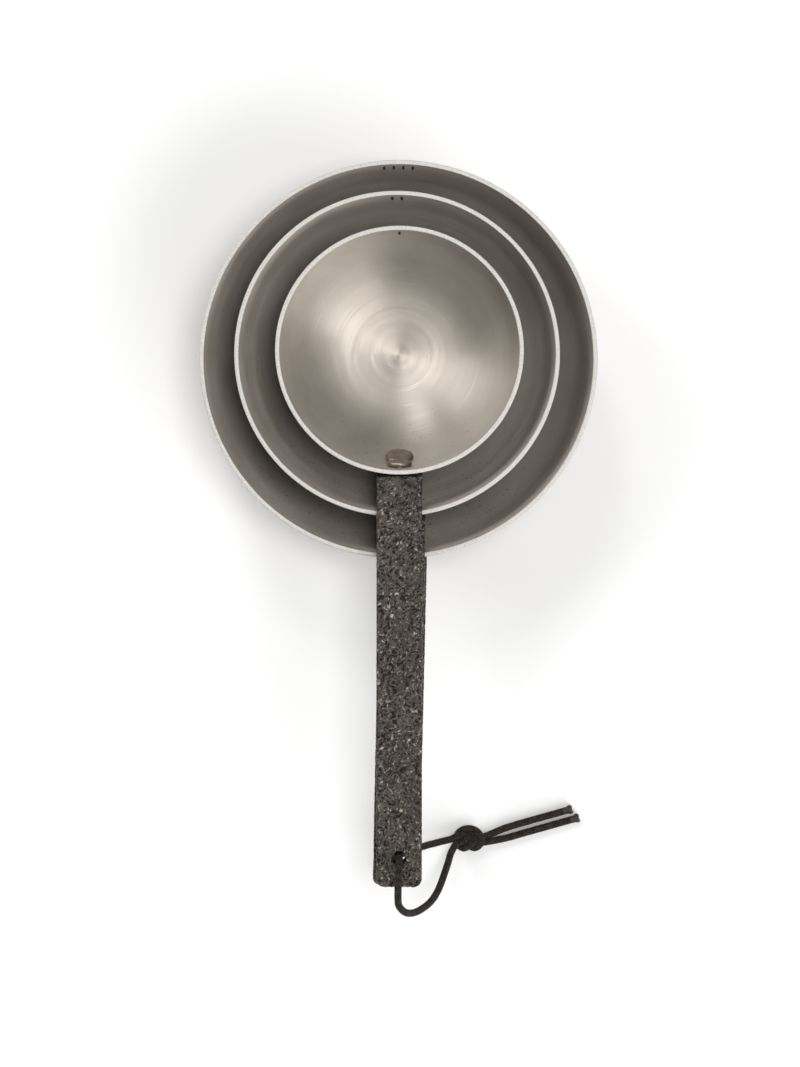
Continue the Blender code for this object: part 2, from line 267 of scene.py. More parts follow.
# %% Section of a bowl
WALL = 0.9
LEAN = math.radians(9.0)
BOTTOM = {"large": 24.0, "middle": 19.0, "small": 8.5}
RIM_ROUND = 0.12


def corner_radius(rim, bottom, depth):
    """Radius of the corner that meets both the flat bottom and the leaning wall."""
    run = rim - bottom - depth * math.tan(LEAN)
    return run / (math.cos(LEAN) - (1 - math.sin(LEAN)) * math.tan(LEAN))


for size, bowl in BOWLS.items():
    bowl["inner"] = bowl["outer"] - WALL / math.cos(LEAN)
    bowl["bottom"] = BOTTOM[size]
    bowl["floor"] = bowl["base"] + WALL
    bowl["corner"] = corner_radius(bowl["inner"], bowl["bottom"], bowl["rim"] - bowl["floor"])
    print(size, "corner radius", round(bowl["corner"], 2))


# %% Draw the section
def wall_side(bowl, outwards, steps=26):
    """Section points from the centre of the bottom up to the rim, for one side."""
    extra = WALL if outwards else 0.0
    radius = bowl["corner"] + extra
    middle = bowl["floor"] + bowl["corner"]
    points = [(bowl["bottom"] * i / 10, bowl["floor"] - extra) for i in range(11)]
    for i in range(1, steps + 1):
        angle = (math.pi / 2 - LEAN) * i / steps
        points.append((bowl["bottom"] + radius * math.sin(angle), middle - radius * math.cos(angle)))
    top = (bowl["outer"] if outwards else bowl["inner"], bowl["rim"])
    foot = points[-1]
    for i in range(1, 9):
        points.append((foot[0] + (top[0] - foot[0]) * i / 8, foot[1] + (top[1] - foot[1]) * i / 8))
    return points


def rim_round(point, side):
    """Four points that round one edge of the rim; side is 1 inside, -1 outside."""
    r, z = point
    turns = [math.pi / 2 * i / 3 for i in range(4)]
    return [(r + side * RIM_ROUND * (1 - math.cos(a)), z - RIM_ROUND * (1 - math.sin(a))) for a in turns]


def bowl_section(bowl):
    inside, outside = wall_side(bowl, False), wall_side(bowl, True)
    return (inside[:-1] + rim_round(inside[-1], 1)
            + list(reversed(rim_round(outside[-1], -1))) + list(reversed(outside[:-1])))


# %% Turn a section into a mesh
def turned(name, section, place, segments=192):
    """A lathe mesh in metres, turned from a section of radii and heights."""
    angles = [2 * math.pi * i / segments for i in range(segments)]
    verts, faces, rows = [], [], []
    for radius, height in section:
        count = 1 if radius < 1e-6 else segments
        rows.append([len(verts) + i for i in range(count)])
        verts += [(radius * math.cos(a), radius * math.sin(a), height) for a in angles[:count]]
    for lower, upper in zip(rows, rows[1:]):
        for i in range(segments):
            j = (i + 1) % segments
            ring = [lower[i % len(lower)], lower[j % len(lower)],
                    upper[j % len(upper)], upper[i % len(upper)]]
            faces.append(tuple(dict.fromkeys(ring)))
    mesh = bpy.data.meshes.new(name)
    mesh.from_pydata([place @ (Vector(v) * MM) for v in verts], [], faces)
    bm = bmesh.new()
    bm.from_mesh(mesh)
    bmesh.ops.recalc_face_normals(bm, faces=bm.faces)
    bm.to_mesh(mesh)
    bm.free()
    mesh.shade_smooth()
    mesh.set_sharp_from_angle(angle=math.radians(50))
    return link(bpy.data.objects.new(name, mesh))


# %% Brushed steel
FROM_AXIS = "from_axis"  # each point's place from its own bowl's axis and floor, in metres
STEEL_DARK, STEEL_LIGHT = (0.335, 0.300, 0.262, 1), (0.425, 0.388, 0.347, 1)


def measure_from_axis(piece, bowl):
    """Stores each point's place from the bowl's axis, so one steel suits all three."""
    origin = Vector((*bowl["centre"], bowl["floor"])) * MM
    places = [c for vert in piece.data.vertices for c in vert.co - origin]
    piece.data.attributes.new(FROM_AXIS, "FLOAT_VECTOR", "POINT").data.foreach_set("vector", places)


def brushed_steel():
    """Steel with lathe rings round each bowl's axis, clouded and a little stained."""
    made, tree, shader = new_material("brushed_steel", 0.5, 1.0)
    place = tree.nodes.new("ShaderNodeAttribute")
    place.attribute_name = FROM_AXIS
    vector = place.outputs["Vector"]
    marks = tree.nodes.new("ShaderNodeGroup")
    marks.node_tree = TURNED_MARKS
    tree.links.new(vector, marks.inputs["Vector"])
    cloud = remap(tree, marks.outputs["Cloud"], 0.3, 0.7)
    base = blend_colour(tree, cloud, STEEL_DARK, STEEL_LIGHT)
    arcs = math_node(tree, "MULTIPLY", marks.outputs["Arcs"], 0.45)
    base = blend_colour(tree, arcs, base, (0.70, 0.66, 0.61, 1))
    specks = remap(tree, noise(tree, vector, 1500.0, 1.0), 0.68, 0.74)
    parts = tree.nodes.new("ShaderNodeSeparateXYZ")
    tree.links.new(vector, parts.inputs[0])
    stain = remap(tree, parts.outputs["Y"], -0.008, -0.026)
    specks = math_node(tree, "MULTIPLY", specks, math_node(tree, "MULTIPLY", stain, 0.8), True)
    base = blend_colour(tree, specks, base, (0.12, 0.09, 0.07, 1))
    tree.links.new(base, shader.inputs["Base Color"])
    rough = remap(tree, marks.outputs["Height"], 0.4, 1.0, -0.06, 0.06)
    up = remap(tree, parts.outputs["Z"], 0.001, 0.008, 0.44, 0.60)
    tree.links.new(math_node(tree, "ADD", rough, up), shader.inputs["Roughness"])
    tree.links.new(bump(tree, marks.outputs["Height"], 0.25, 0.00005), shader.inputs["Normal"])
    # the grooves run round the bowl, so the reflection spreads outwards from its axis
    outwards = tree.nodes.new("ShaderNodeCombineXYZ")
    tree.links.new(parts.outputs["X"], outwards.inputs["X"])
    tree.links.new(parts.outputs["Y"], outwards.inputs["Y"])
    turned_with_body = tree.nodes.new("ShaderNodeVectorTransform")
    turned_with_body.convert_from, turned_with_body.convert_to = "OBJECT", "WORLD"
    tree.links.new(outwards.outputs[0], turned_with_body.inputs[0])
    tree.links.new(turned_with_body.outputs[0], shader.inputs["Tangent"])
    shader.inputs["Anisotropic"].default_value = 0.86
    return made


def ground_rim():
    """The rim is ground flat and matt, with a fine bright grain."""
    made, tree, shader = new_material("ground_rim", 0.62, 0.85)
    coordinates = tree.nodes.new("ShaderNodeTexCoord").outputs["Object"]
    grain = remap(tree, noise(tree, coordinates, 3600.0, 3.0, 0.7), 0.3, 0.7)
    tree.links.new(blend_colour(tree, grain, (0.46, 0.44, 0.415, 1), (0.70, 0.675, 0.64, 1)),
                   shader.inputs["Base Color"])
    tree.links.new(bump(tree, grain, 0.5, 0.00003), shader.inputs["Normal"])
    return made


# %% Make the three bowls
def finish(obj, material, body, slot, *nodes):
    """Gives a piece its material, its body and the nodes it stands for; its slot is not used."""
    obj.data.materials.clear()
    obj.data.materials.append(material)
    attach(obj, body)
    if nodes:
        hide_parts(*nodes)
    return obj


BRUSHED_STEEL = brushed_steel()
GROUND_RIM = ground_rim()
for size, bowl in BOWLS.items():
    place = Matrix.Translation(Vector((*bowl["centre"], 0)) * MM)
    piece = turned(f"{size}_bowl_turned", bowl_section(bowl), place)
    measure_from_axis(piece, bowl)
    finish(piece, BRUSHED_STEEL, f"{size}_scoop", "bowl_steel", f"{size}_bowl")
    piece.data.materials.append(GROUND_RIM)
    for face in piece.data.polygons:
        face.material_index = int(face.center.z > (bowl["rim"] - RIM_ROUND) * MM)
    print(piece.name, len(piece.data.polygons), "faces")

# %% [markdown]
# ## Handles
# A handle is a flat bar of rough cast iron. Its near end is bent down as a tab that
# follows the bowl's wall. The bar is swept as a rounded section between two paths,
# the upper face and the lower face, so the bend keeps a crisp outer corner.

# %% Sizes of a handle, and the wall it follows
GAP = 0.3
HANDLE_WIDTH = 9.6
HANDLE_THICK = 2.4
TAB_LENGTH = 13.2
END_CORNER = 1.7
TAB_X = {"large": 1.2, "middle": 0.9, "small": 0.2}
END_X = {"large": -0.3, "middle": -0.5, "small": 0.1}
SWING_Y = -110.2
HOLE_REACH = {"large": 6.4, "middle": 7.0, "small": 6.4}
HOLE_X = 0.1
HOLE_RADIUS = 1.5
HANDLE_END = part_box("small_handle")[0][1] / MM


def outer_wall(bowl, along):
    """Point (y, z) of the outer wall under the handle, and its lean from vertical."""
    outer = bowl["corner"] + WALL
    arc_top = bowl["floor"] + bowl["corner"] - outer * math.sin(LEAN)
    straight = (bowl["rim"] - arc_top) / math.cos(LEAN)
    if along <= straight:
        radius = bowl["outer"] - along * math.sin(LEAN)
        return Vector((bowl["centre"].y - radius, bowl["rim"] - along * math.cos(LEAN))), LEAN
    lean = LEAN + (along - straight) / outer
    radius = bowl["bottom"] + outer * math.cos(lean)
    return Vector((bowl["centre"].y - radius, bowl["floor"] + bowl["corner"] - outer * math.sin(lean))), lean


def beside_wall(bowl, along, distance):
    point, lean = outer_wall(bowl, along)
    return point + distance * Vector((-math.cos(lean), -math.sin(lean)))


print("wall under the large handle at the rim", [round(c, 2) for c in outer_wall(BOWLS["large"], 0)[0]])


# %% Paths along the handle
def bend(start, corner, end, steps):
    """Points of a quadratic curve that rounds a corner."""
    ts = [i / steps for i in range(1, steps + 1)]
    return [start * (1 - t) ** 2 + corner * 2 * t * (1 - t) + end * t ** 2 for t in ts]


def handle_paths(size, step=0.2):
    """Matching points (y, z) along the handle's upper face and its lower face."""
    bowl = BOWLS[size]
    top, under = bowl["rim"], bowl["rim"] - HANDLE_THICK
    count = round(TAB_LENGTH / step)
    upper_start, lower_start = 0.9, 3.3
    upper, lower = [], []
    for i in range(count + 1):
        t = i / count
        upper.append(beside_wall(bowl, TAB_LENGTH + (upper_start - TAB_LENGTH) * t, GAP))
        lower.append(beside_wall(bowl, TAB_LENGTH + (lower_start - TAB_LENGTH) * t, GAP + HANDLE_THICK))
    edge = beside_wall(bowl, 0, GAP)
    face = beside_wall(bowl, 0, GAP + HANDLE_THICK)
    corner_y = face.x + (face.y - under) * math.tan(LEAN)
    upper_turn, lower_turn = Vector((edge.x - 0.8, top)), Vector((corner_y - 0.7, under))
    upper += bend(upper[-1], Vector((edge.x, top)), upper_turn, 7)
    lower += bend(lower[-1], Vector((corner_y, under)), lower_turn, 7)
    count = round((lower_turn.x - HANDLE_END) / step)
    for i in range(1, count + 1):
        t = i / count
        upper.append(Vector((upper_turn.x + (HANDLE_END - upper_turn.x) * t, top)))
        lower.append(Vector((lower_turn.x + (HANDLE_END - lower_turn.x) * t, under)))
    return upper, lower


# %% Section of the bar
EDGE_ROUND = 0.38


def bar_section(step=0.2):
    """Loop of (across, through) round the bar; through runs 0 below to 1 above."""
    half, thick, r = HANDLE_WIDTH / 2, HANDLE_THICK, EDGE_ROUND
    loop = []
    corners = ((half - r, r, -90), (half - r, thick - r, 0), (r - half, thick - r, 90), (r - half, r, 180))
    for cx, cz, start in corners:
        for i in range(4):
            angle = math.radians(start + 30 * i)
            loop.append(Vector((cx + r * math.cos(angle), cz + r * math.sin(angle))))
    filled = []
    for a, b in zip(loop, loop[1:] + loop[:1]):
        parts = max(1, round((b - a).length / step))
        filled += [a + (b - a) * i / parts for i in range(parts)]
    return [(p.x, p.y / thick) for p in filled]


def width_at(distance, half):
    """Half width of the bar near its end, where the corners are round."""
    if distance >= END_CORNER:
        return half
    return half - END_CORNER + math.sqrt(END_CORNER ** 2 - (END_CORNER - distance) ** 2)


print("the bar's section has", len(bar_section()), "points")


# %% Sweep it
def swept_bar(size):
    upper, lower = handle_paths(size)
    section = bar_section()
    half = HANDLE_WIDTH / 2
    hole_y = SWING_Y + HOLE_REACH[size]
    slant = math.atan2(TAB_X[size] - END_X[size], outer_wall(BOWLS[size], 0)[0].x - hole_y)
    verts = []
    for high, low in zip(upper, lower):
        squeeze = width_at(max(high.x - HANDLE_END, 0.06), half) / half
        for across, through in section:
            point = low + (high - low) * through
            x, y = across * squeeze, point.x - hole_y
            verts.append((END_X[size] + x * math.cos(slant) + y * math.sin(slant),
                          hole_y - x * math.sin(slant) + y * math.cos(slant), point.y))
    ring, rows = len(section), len(upper)
    faces = [(r * ring + i, r * ring + (i + 1) % ring, (r + 1) * ring + (i + 1) % ring, (r + 1) * ring + i)
             for r in range(rows - 1) for i in range(ring)]
    faces += [tuple(range(ring)), tuple(reversed(range((rows - 1) * ring, rows * ring)))]
    mesh = bpy.data.meshes.new(f"{size}_handle_cast")
    mesh.from_pydata([Vector(v) * MM for v in verts], [], faces)
    bm = bmesh.new()
    bm.from_mesh(mesh)
    bmesh.ops.recalc_face_normals(bm, faces=bm.faces)
    bm.to_mesh(mesh)
    bm.free()
    return link(bpy.data.objects.new(mesh.name, mesh))


# %% [markdown]
# The casting skin is all small curled ridges with black creases between them. A
# Geometry Nodes tree makes them as the level lines of a warped noise: a sine of the
# noise gives winding ridges of one width. It pushes every point of the bar inwards
# by that relief and stores the relief, so that the finish can darken the creases.

# %% Helpers for Geometry Nodes
def nodes_tree(name, sockets):
    """A Geometry Nodes tree with named inputs, and its end nodes."""
    tree = bpy.data.node_groups.new(name, "GeometryNodeTree")
    tree.interface.new_socket("Geometry", in_out="INPUT", socket_type="NodeSocketGeometry")
    for label, kind, value in sockets:
        socket = tree.interface.new_socket(label, in_out="INPUT", socket_type=kind)
        if value is not None:
            socket.default_value = value
    tree.interface.new_socket("Geometry", in_out="OUTPUT", socket_type="NodeSocketGeometry")
    return tree, tree.nodes.new("NodeGroupInput"), tree.nodes.new("NodeGroupOutput")


def vector_math(tree, operation, first, second=None):
    node = tree.nodes.new("ShaderNodeVectorMath")
    node.operation = operation
    tree.links.new(first, node.inputs[0])
    if second is not None:
        tree.links.new(second, node.inputs["Scale"] if operation == "SCALE" else node.inputs[1])
    return node.outputs["Value" if operation in ("LENGTH", "DOT_PRODUCT") else "Vector"]


def paint_and_end(tree, geometry, material, end):
    """Realizes the instances, sets the material and ends the tree."""
    realize = tree.nodes.new("GeometryNodeRealizeInstances")
    tree.links.new(geometry, realize.inputs["Geometry"])
    paint = tree.nodes.new("GeometryNodeSetMaterial")
    tree.links.new(realize.outputs["Geometry"], paint.inputs["Geometry"])
    tree.links.new(material, paint.inputs["Material"])
    tree.links.new(paint.outputs["Geometry"], end.inputs["Geometry"])


# %% Casting skin
def make_casting_skin():
    tree, start, end = nodes_tree("casting_skin", [
        ("Depth", "NodeSocketFloat", 0.00017), ("Ridges", "NodeSocketFloat", 5.0),
        ("Scale", "NodeSocketFloat", 640.0), ("Seed", "NodeSocketVector", (0, 0, 0)),
        ("Material", "NodeSocketMaterial", None)])
    place = tree.nodes.new("GeometryNodeInputPosition").outputs[0]
    moved = vector_math(tree, "ADD", place, start.outputs["Seed"])
    warped = tree.nodes.new("ShaderNodeTexNoise")
    tree.links.new(moved, warped.inputs["Vector"])
    tree.links.new(start.outputs["Scale"], warped.inputs["Scale"])
    warped.inputs["Detail"].default_value = 1.6
    warped.inputs["Distortion"].default_value = 0.6
    ridges = math_node(tree, "MULTIPLY", warped.outputs["Fac"], start.outputs["Ridges"])
    phase = math_node(tree, "MULTIPLY", ridges, math.tau)
    winding = remap(tree, math_node(tree, "SINE", phase), -1.0, 1.0)
    lumps = remap(tree, noise(tree, moved, 1500.0, 1.0), 0.3, 0.7)
    calm = remap(tree, noise(tree, moved, 260.0, 1.0), 0.36, 0.48, 0.62, 1.0)
    relief = math_node(tree, "MULTIPLY", winding, remap(tree, lumps, 0.0, 1.0, 0.45, 1.0))
    swing = math_node(tree, "MULTIPLY", math_node(tree, "SUBTRACT", relief, 0.5), calm)
    relief = math_node(tree, "ADD", swing, 0.5)
    store = tree.nodes.new("GeometryNodeStoreNamedAttribute")
    store.data_type = "FLOAT"
    store.domain = "POINT"
    store.inputs["Name"].default_value = "relief"
    tree.links.new(start.outputs["Geometry"], store.inputs["Geometry"])
    tree.links.new(relief, store.inputs["Value"])
    depth = math_node(tree, "MULTIPLY", math_node(tree, "SUBTRACT", relief, 1.0), start.outputs["Depth"])
    normal = tree.nodes.new("GeometryNodeInputNormal").outputs[0]
    push = tree.nodes.new("GeometryNodeSetPosition")
    tree.links.new(store.outputs["Geometry"], push.inputs["Geometry"])
    tree.links.new(vector_math(tree, "SCALE", normal, depth), push.inputs["Offset"])
    paint_and_end(tree, push.outputs["Geometry"], start.outputs["Material"], end)
    return tree


# %% Run a tree
def grown(obj, tree, **values):
    """Runs a Geometry Nodes tree on an object and returns the result as a plain mesh."""
    modifier = obj.modifiers.new(tree.name, "NODES")
    modifier.node_group = tree
    for item in tree.interface.items_tree:
        if item.in_out == "INPUT" and item.name in values:
            modifier[item.identifier] = values[item.name]
    obj.update_tag()
    graph = bpy.context.evaluated_depsgraph_get()
    mesh = bpy.data.meshes.new_from_object(obj.evaluated_get(graph))
    mesh.name = obj.name
    made = link(bpy.data.objects.new(f"{obj.name}_piece", mesh))
    bpy.data.objects.remove(obj)
    return made


CASTING_SKIN = make_casting_skin()
print(CASTING_SKIN.name, "has", len(CASTING_SKIN.nodes), "nodes")


# %% Cast iron
def cast_iron():
    """Dark oxidised casting, near black in the creases, with a painted highlight in warm grey on the crests.
    """
    made, tree, shader = new_material("cast_iron", 0.5, 0.55)
    coordinates = tree.nodes.new("ShaderNodeTexCoord").outputs["Object"]
    relief = tree.nodes.new("ShaderNodeAttribute")
    relief.attribute_name = "relief"
    curls = noise(tree, coordinates, 780.0, 1.5, 0.5, 0.8)
    curls = remap(tree, math_node(tree, "SINE", math_node(tree, "MULTIPLY", curls, 26.0)), -1.0, 1.0)
    grit = noise(tree, coordinates, 4200.0, 2.0, 0.6)
    tone = remap(tree, noise(tree, coordinates, 240.0, 3.0, 0.6), 0.3, 0.7)
    high = math_node(tree, "ADD", math_node(tree, "MULTIPLY", relief.outputs["Fac"], 0.66),
                     remap(tree, curls, 0.0, 1.0, -0.02, 0.30))
    high = math_node(tree, "ADD", high, remap(tree, grit, 0.3, 0.7, -0.08, 0.08))
    base = blend_colour(tree, tone, (0.050, 0.044, 0.040, 1), (0.088, 0.074, 0.061, 1))
    base = blend_colour(tree, remap(tree, high, 0.34, 0.14), base, (0.006, 0.005, 0.004, 1))
    # painted highlight: the crests are coloured lighter, as if they caught the light
    base = blend_colour(tree, remap(tree, high, 0.62, 0.92), base, (0.42, 0.37, 0.32, 1))
    tree.links.new(base, shader.inputs["Base Color"])
    tree.links.new(remap(tree, high, 0.2, 0.9, 0.7, 0.40), shader.inputs["Roughness"])
    tree.links.new(bump(tree, high, 0.9, 0.00016), shader.inputs["Normal"])
    return made


CAST_IRON = cast_iron()


# %% Drill the cord hole
def drilled(obj, radius, spot):
    """Cuts the round cord hole through the bar, upright, at a point in mm."""
    bm = bmesh.new()
    bmesh.ops.create_cone(
        bm, cap_ends=True, segments=48, radius1=radius * MM, radius2=radius * MM, depth=6 * MM)
    mesh = bpy.data.meshes.new("drill")
    bm.to_mesh(mesh)
    bm.free()
    drill = link(bpy.data.objects.new("drill", mesh))
    drill.location = Vector(spot) * MM
    step = obj.modifiers.new("drill", "BOOLEAN")
    step.operation = "DIFFERENCE"
    step.solver = "EXACT"
    step.object = drill
    graph = bpy.context.evaluated_depsgraph_get()
    cut = bpy.data.meshes.new_from_object(obj.evaluated_get(graph))
    obj.modifiers.clear()
    obj.data = cut
    bpy.data.objects.remove(drill)
    return obj


# %% Make the three handles
for number, size in enumerate(SIZES):
    bar = grown(swept_bar(size), CASTING_SKIN, Seed=(0.1 * number, 0.03, 0.07), Material=CAST_IRON)
    middle_z = BOWLS[size]["rim"] - HANDLE_THICK / 2
    bar = drilled(bar, HOLE_RADIUS, (HOLE_X, SWING_Y + HOLE_REACH[size], middle_z))
    bar.name = f"{size}_handle_cast"
    bar.data.shade_smooth()
    bar.data.set_sharp_from_angle(angle=math.radians(60))
    finish(bar, CAST_IRON, f"{size}_scoop", "handle_iron", f"{size}_handle")
    print(bar.name, len(bar.data.polygons), "faces")

# %% [markdown]
# ## Rivets
# Two iron rivets hold each bowl to its handle. The factory head sits inside the
# bowl as a thick disc with a turned edge, and the tail is hammered to a low dome
# outside the tab. One rivet is modelled and placed on two points by Geometry Nodes.

# %% One rivet
RIVET_DEPTHS = (4.5, 10.9)
HEAD_RADIUS, HEAD_THICK, HEAD_STAND = 2.6, 0.9, 0.42
LOWER_HEAD = 2.9 / HEAD_RADIUS  # the lower rivet is a little larger
SHANK_RADIUS, TAIL_RADIUS, TAIL_THICK = 1.2, 1.7, 0.9


def rivet_section():
    under = WALL + HEAD_STAND
    top = under + HEAD_THICK
    back = -(GAP + HANDLE_THICK + GAP)
    r = HEAD_RADIUS
    dome = [(TAIL_RADIUS * math.cos(a), back - TAIL_THICK * math.sin(a))
            for a in (math.pi / 2 * i / 8 for i in range(8))]
    return ([(0, top - 0.06), (r * 0.5, top - 0.04), (r - 0.42, top), (r - 0.26, top - 0.03),
             (r - 0.10, top - 0.14), (r - 0.02, top - 0.3), (r, top - 0.42), (r - 0.12, top - 0.5),
             (r - 0.12, top - 0.58), (r, top - 0.66), (r - 0.04, under + 0.08), (r - 0.12, under),
             (SHANK_RADIUS, under), (SHANK_RADIUS, back)]
            + dome + [(0, back - TAIL_THICK)])


RIVET = turned("rivet", rivet_section(), Matrix.Identity(4), 48)
print("rivet", len(RIVET.data.polygons), "faces")


# %% A row of rivets
def make_rivet_row():
    tree, start, end = nodes_tree("rivet_row", [
        ("Rivet", "NodeSocketObject", None), ("Material", "NodeSocketMaterial", None)])
    shape = tree.nodes.new("GeometryNodeObjectInfo")
    tree.links.new(start.outputs["Rivet"], shape.inputs["Object"])
    axis = tree.nodes.new("GeometryNodeInputNamedAttribute")
    axis.data_type = "FLOAT_VECTOR"
    axis.inputs["Name"].default_value = "axis"
    align = tree.nodes.new("FunctionNodeAlignRotationToVector")
    align.axis = "Z"
    tree.links.new(axis.outputs["Attribute"], align.inputs["Vector"])
    place = tree.nodes.new("GeometryNodeInstanceOnPoints")
    tree.links.new(start.outputs["Geometry"], place.inputs["Points"])
    tree.links.new(shape.outputs["Geometry"], place.inputs["Instance"])
    tree.links.new(align.outputs["Rotation"], place.inputs["Rotation"])
    scale = tree.nodes.new("GeometryNodeInputNamedAttribute")
    scale.data_type = "FLOAT_VECTOR"
    scale.inputs["Name"].default_value = "scale"
    tree.links.new(scale.outputs["Attribute"], place.inputs["Scale"])
    paint_and_end(tree, place.outputs["Instances"], start.outputs["Material"], end)
    return tree


# %% Rivet iron
def rivet_iron():
    """Brown oxidised iron, lighter and darker in small random patches."""
    made, tree, shader = new_material("rivet_iron", 0.4, 0.9)
    coordinates = tree.nodes.new("ShaderNodeTexCoord").outputs["Object"]
    tone = remap(tree, noise(tree, coordinates, 700.0, 4.0, 0.6), 0.3, 0.7)
    base = blend_colour(tree, tone, (0.30, 0.245, 0.20, 1), (0.50, 0.425, 0.355, 1))
    tree.links.new(base, shader.inputs["Base Color"])
    tree.links.new(remap(tree, tone, 0.0, 1.0, 0.5, 0.32), shader.inputs["Roughness"])
    tree.links.new(bump(tree, noise(tree, coordinates, 1600.0, 3.0), 0.4, 0.0001), shader.inputs["Normal"])
    return made


RIVET_ROW = make_rivet_row()
RIVET_IRON = rivet_iron()

# %% Place them
for size, bowl in BOWLS.items():
    seats = [outer_wall(bowl, along) for along in RIVET_DEPTHS]
    mesh = bpy.data.meshes.new(f"{size}_rivets")
    mesh.from_pydata([Vector((TAB_X[size], *point)) * MM for point, _ in seats], [], [])
    axes = mesh.attributes.new("axis", "FLOAT_VECTOR", "POINT")
    sizes = mesh.attributes.new("scale", "FLOAT_VECTOR", "POINT")
    for axis, scale, (_, lean), wide in zip(axes.data, sizes.data, seats, (1.0, LOWER_HEAD)):
        axis.vector = (0, math.cos(lean), math.sin(lean))
        scale.vector = (wide, wide, 1.0)
    points = link(bpy.data.objects.new(f"{size}_rivets", mesh))
    pair = grown(points, RIVET_ROW, Rivet=RIVET, Material=RIVET_IRON)
    pair.name = f"{size}_rivet_pair"
    pair.data.shade_smooth()
    pair.data.set_sharp_from_angle(angle=math.radians(45))
    finish(pair, RIVET_IRON, f"{size}_scoop", "rivet_iron", f"{size}_rivet_upper", f"{size}_rivet_lower")
    print(pair.name, len(pair.data.polygons), "faces")
bpy.data.objects.remove(RIVET)

# %% [markdown]
# ## Size marks
# A scoop has its size etched into the wall near the rim, opposite the handle. Here
# it is plain strokes, one for each quarter of the large scoop. They could be cut
# into the bowl, but an etched mark has no depth to see, so each stroke is a strip
# that lies on the wall, a hair's breadth in front of it.

# %% Etched strokes
STROKES = {"large": 4, "middle": 2, "small": 1}
STROKE_WIDTH, STROKE_LENGTH, STROKE_PITCH = 0.5, 2.6, 2.0
STROKE_DOWN = 1.3  # from the rim to the stroke's upper end, along the wall
STROKE_ROWS = 4
STROKE_PROUD = 0.03


def etched_strokes(size):
    """Upright strips on the inside of the wall, at the side opposite the handle."""
    bowl, count = BOWLS[size], STROKES[size]
    verts, faces = [], []
    for number in range(count):
        middle = (number - (count - 1) / 2) * STROKE_PITCH
        first = len(verts)
        for row in range(STROKE_ROWS + 1):
            down = STROKE_DOWN + STROKE_LENGTH * row / STROKE_ROWS
            radius = bowl["inner"] - down * math.sin(LEAN) - STROKE_PROUD
            for side in (-0.5, 0.5):
                turn = (middle + side * STROKE_WIDTH) / radius
                x, y = bowl["centre"].x + radius * math.sin(turn), bowl["centre"].y + radius * math.cos(turn)
                verts.append(Vector((x, y, bowl["rim"] - down * math.cos(LEAN))) * MM)
        faces += [(a, a + 2, a + 3, a + 1) for a in range(first, first + 2 * STROKE_ROWS, 2)]
    mesh = bpy.data.meshes.new(f"{size}_size_mark")
    mesh.from_pydata(verts, [], faces)
    return link(bpy.data.objects.new(mesh.name, mesh))


def etching():
    """Dark, matt and a little uneven, where the acid bit into the steel."""
    made, tree, shader = new_material("etching", 0.7, 0.6)
    coordinates = tree.nodes.new("ShaderNodeTexCoord").outputs["Object"]
    tone = remap(tree, noise(tree, coordinates, 2500.0, 2.0), 0.35, 0.65)
    tree.links.new(blend_colour(tree, tone, (0.03, 0.025, 0.02, 1), (0.085, 0.072, 0.06, 1)),
                   shader.inputs["Base Color"])
    return made


ETCHING = etching()
for size in SIZES:
    finish(etched_strokes(size), ETCHING, f"{size}_scoop", "bowl_steel")
    print(size, "has", STROKES[size], "strokes")

# %% [markdown]
# ## Cord
# One braided cord passes up through the three holes, over the handle ends and down
# to the surface. Its two ends are tied together in an overhand knot and melted so
# that they don't fray. The two halves meet inside the holes, so each half is one
# cord: its route is a smooth curve through listed points.

# %% Routes
CORD = 1.5  # diameter
CORD_ARC = HOLE_REACH["middle"] + 0.05
SWING_Z = BOWLS["middle"]["rim"] - HANDLE_THICK / 2
LIE = CORD / 2 + 0.05  # height of the centreline where the cord lies flat
KNOT = Vector((15.2, -102.6, 0))


def arc_point(degrees, x):
    angle = math.radians(degrees)
    return (x, SWING_Y + CORD_ARC * math.cos(angle), SWING_Z + CORD_ARC * math.sin(angle))


OVER_THE_END = [
    *[arc_point(angle, HOLE_X) for angle in (0, 15, 30, 45, 60)],
    *[arc_point(angle, HOLE_X - 0.2) for angle in (75, 90, 103)],
    (0.1, -113.4, 33.6), (1.4, -115.0, 31.2), (3.2, -115.5, 27.5), (5.1, -115.0, 23.6),
    (6.9, -113.9, 19.8), (8.2, -112.4, 16.0), (9.1, -110.8, 12.6), (9.8, -109.2, 9.6),
    (10.6, -107.2, 6.8), (11.3, -105.2, 4.6),
]
UNDER_THE_HANDLES = [
    *[arc_point(angle, HOLE_X) for angle in (0, -15, -30, -45)],
    (-0.7, -104.5, 19.4), (-0.5, -104.4, 16.0), (1.0, -104.6, 12.6), (3.0, -104.3, 9.2),
    (5.5, -103.6, 6.2),
    (8.8, -103.0, 3.2), (11.2, -102.5, 2.3),
]
# middle line of the doubled cord through the knot, from its centre: x, y, height
KNOT_LINE = [
    (-3.0, -0.2, 2.4), (-1.9, 0.3, 2.45), (-0.9, 0.1, 1.6), (0.0, -0.35, 0.95), (1.1, -1.15, 1.3),
    (1.95, -0.5, 2.1), (1.95, 0.45, 2.45), (1.2, 1.35, 2.0), (0.0, 1.7, 1.5), (-1.2, 1.35, 1.1),
    (-1.95, 0.45, 0.85), (-1.95, -0.5, 1.1), (-1.1, -1.15, 1.9), (0.0, -0.35, 2.5), (0.9, 0.1, 1.9),
    (1.9, 0.3, 0.9), (3.0, -0.1, LIE),
]
TAIL_OUTER = [(23.1, -102.4, LIE), (28.1, -101.0, LIE), (33.1, -99.6, LIE), (37.7, -98.3, LIE)]
TAIL_INNER = [(23.1, -100.2, LIE), (28.1, -98.7, LIE), (33.1, -97.3, LIE), (36.2, -96.4, LIE)]
PAIR_GAP = 0.68  # each strand's distance from the knot's middle line


